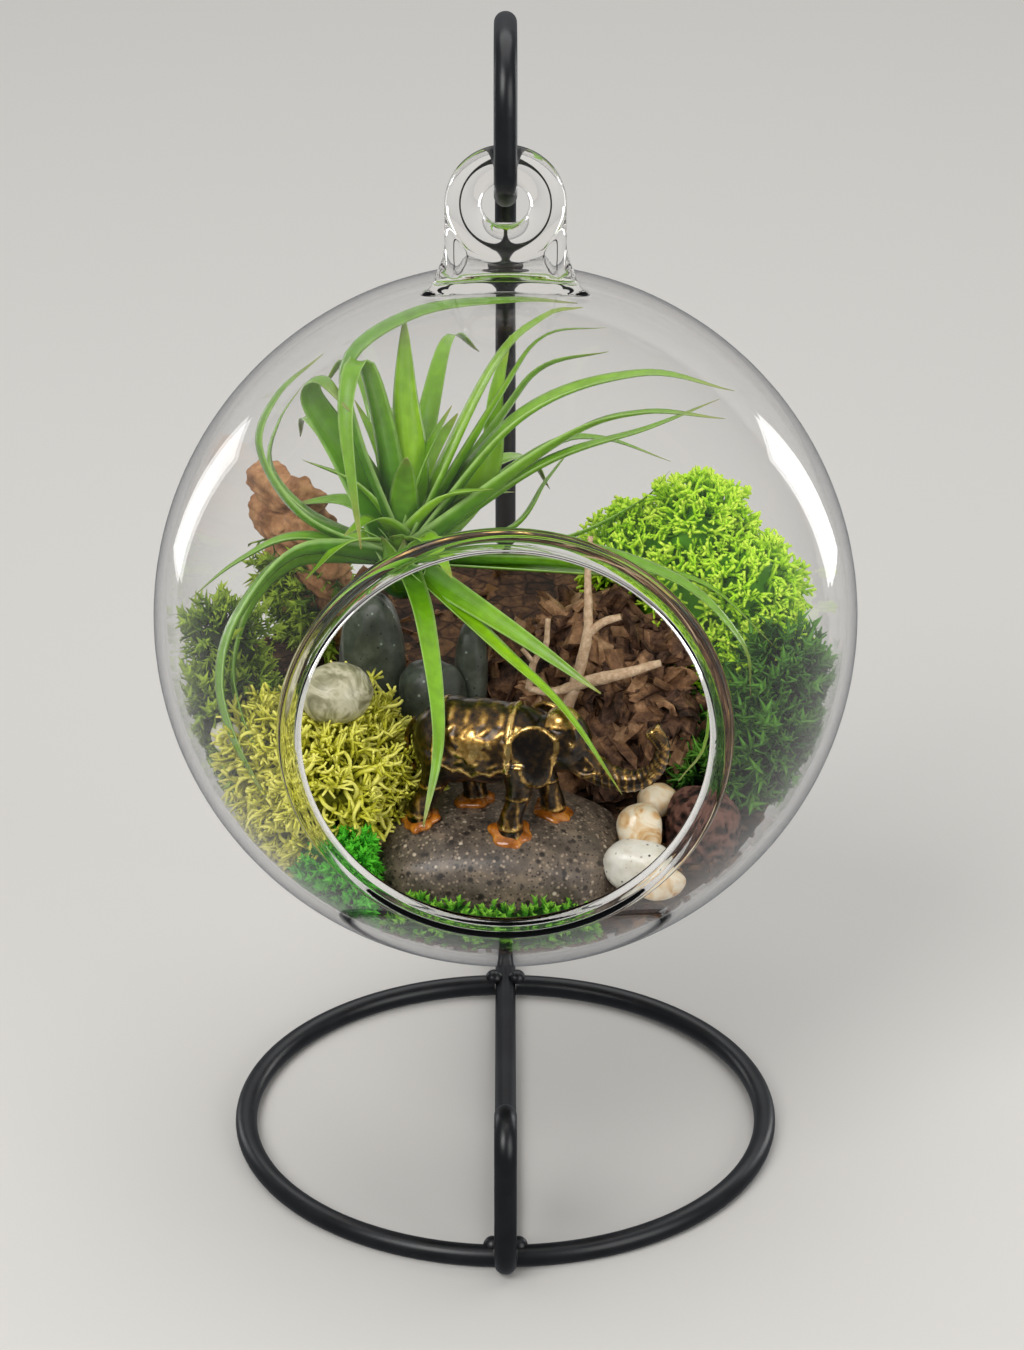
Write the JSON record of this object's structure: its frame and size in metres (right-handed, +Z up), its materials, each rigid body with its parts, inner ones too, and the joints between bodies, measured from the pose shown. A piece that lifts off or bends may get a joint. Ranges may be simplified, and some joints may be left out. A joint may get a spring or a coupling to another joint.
{
  "type": "air plant holder",
  "caption": "Clear glass globe with a round front mouth, hung by its loop from a bent black rod stand, holding an air plant, mosses, stones and a small elephant.",
  "frame": {"origin": "middle of the bounding box in plan, at floor level", "axes": "+Z up, -Y out of the globe's mouth towards the viewer, +X to the viewer's right"},
  "size_m": [0.15, 0.1528, 0.2543],
  "materials": {
    "black_rod": "satin",
    "clear_glass": "polished",
    "river_stone": "matte",
    "round_pebble": "satin",
    "cream_stone": "satin",
    "white_stone": "satin",
    "lava_rock": "matte",
    "grey_stone": "satin",
    "antique_brass": "satin",
    "amber_glue": "gloss",
    "bark": "matte",
    "cork": "matte",
    "twig": "matte",
    "lime_moss": "matte",
    "dark_moss": "matte",
    "yellow_moss": "matte",
    "green_moss": "matte",
    "olive_moss": "matte",
    "leaf": "satin"
  },
  "bodies": {
    "stand": {"main_rod": "black_rod", "left_ring": "black_rod", "right_ring": "black_rod", "weld_beads": "black_rod"},
    "globe": {"glass_globe": "clear_glass", "hanging_loop": "clear_glass", "river_stone": "river_stone", "round_pebble": "round_pebble", "cream_pebble": "cream_stone", "ivory_pebble": "cream_stone", "white_pebble": "white_stone", "tan_pebble": "cream_stone", "lava_rock": "lava_rock", "tall_grey_stone": "grey_stone", "low_grey_stone": "grey_stone", "thin_grey_stone": "grey_stone", "left_pebble": "white_stone", "small_left_pebble": "white_stone", "elephant": "antique_brass", "glue_drops": "amber_glue", "bark_bed": "bark", "shredded_bark": "bark", "cork_bark": "cork", "twig": "twig", "lime_moss": "lime_moss", "dark_moss": "dark_moss", "yellow_moss": "yellow_moss", "green_moss": "green_moss", "olive_moss": "olive_moss", "fringe_moss": "green_moss", "plant_crown": "leaf", "plant_leaves": "leaf"}
  },
  "joints": [
    {"name": "globe_swing", "type": "hinge", "parent": "stand", "child": "globe", "pos_m": [0, -0.008, 0.2208], "axis": [0, 1, 0], "range_deg": [-25, 25]}
  ]
}
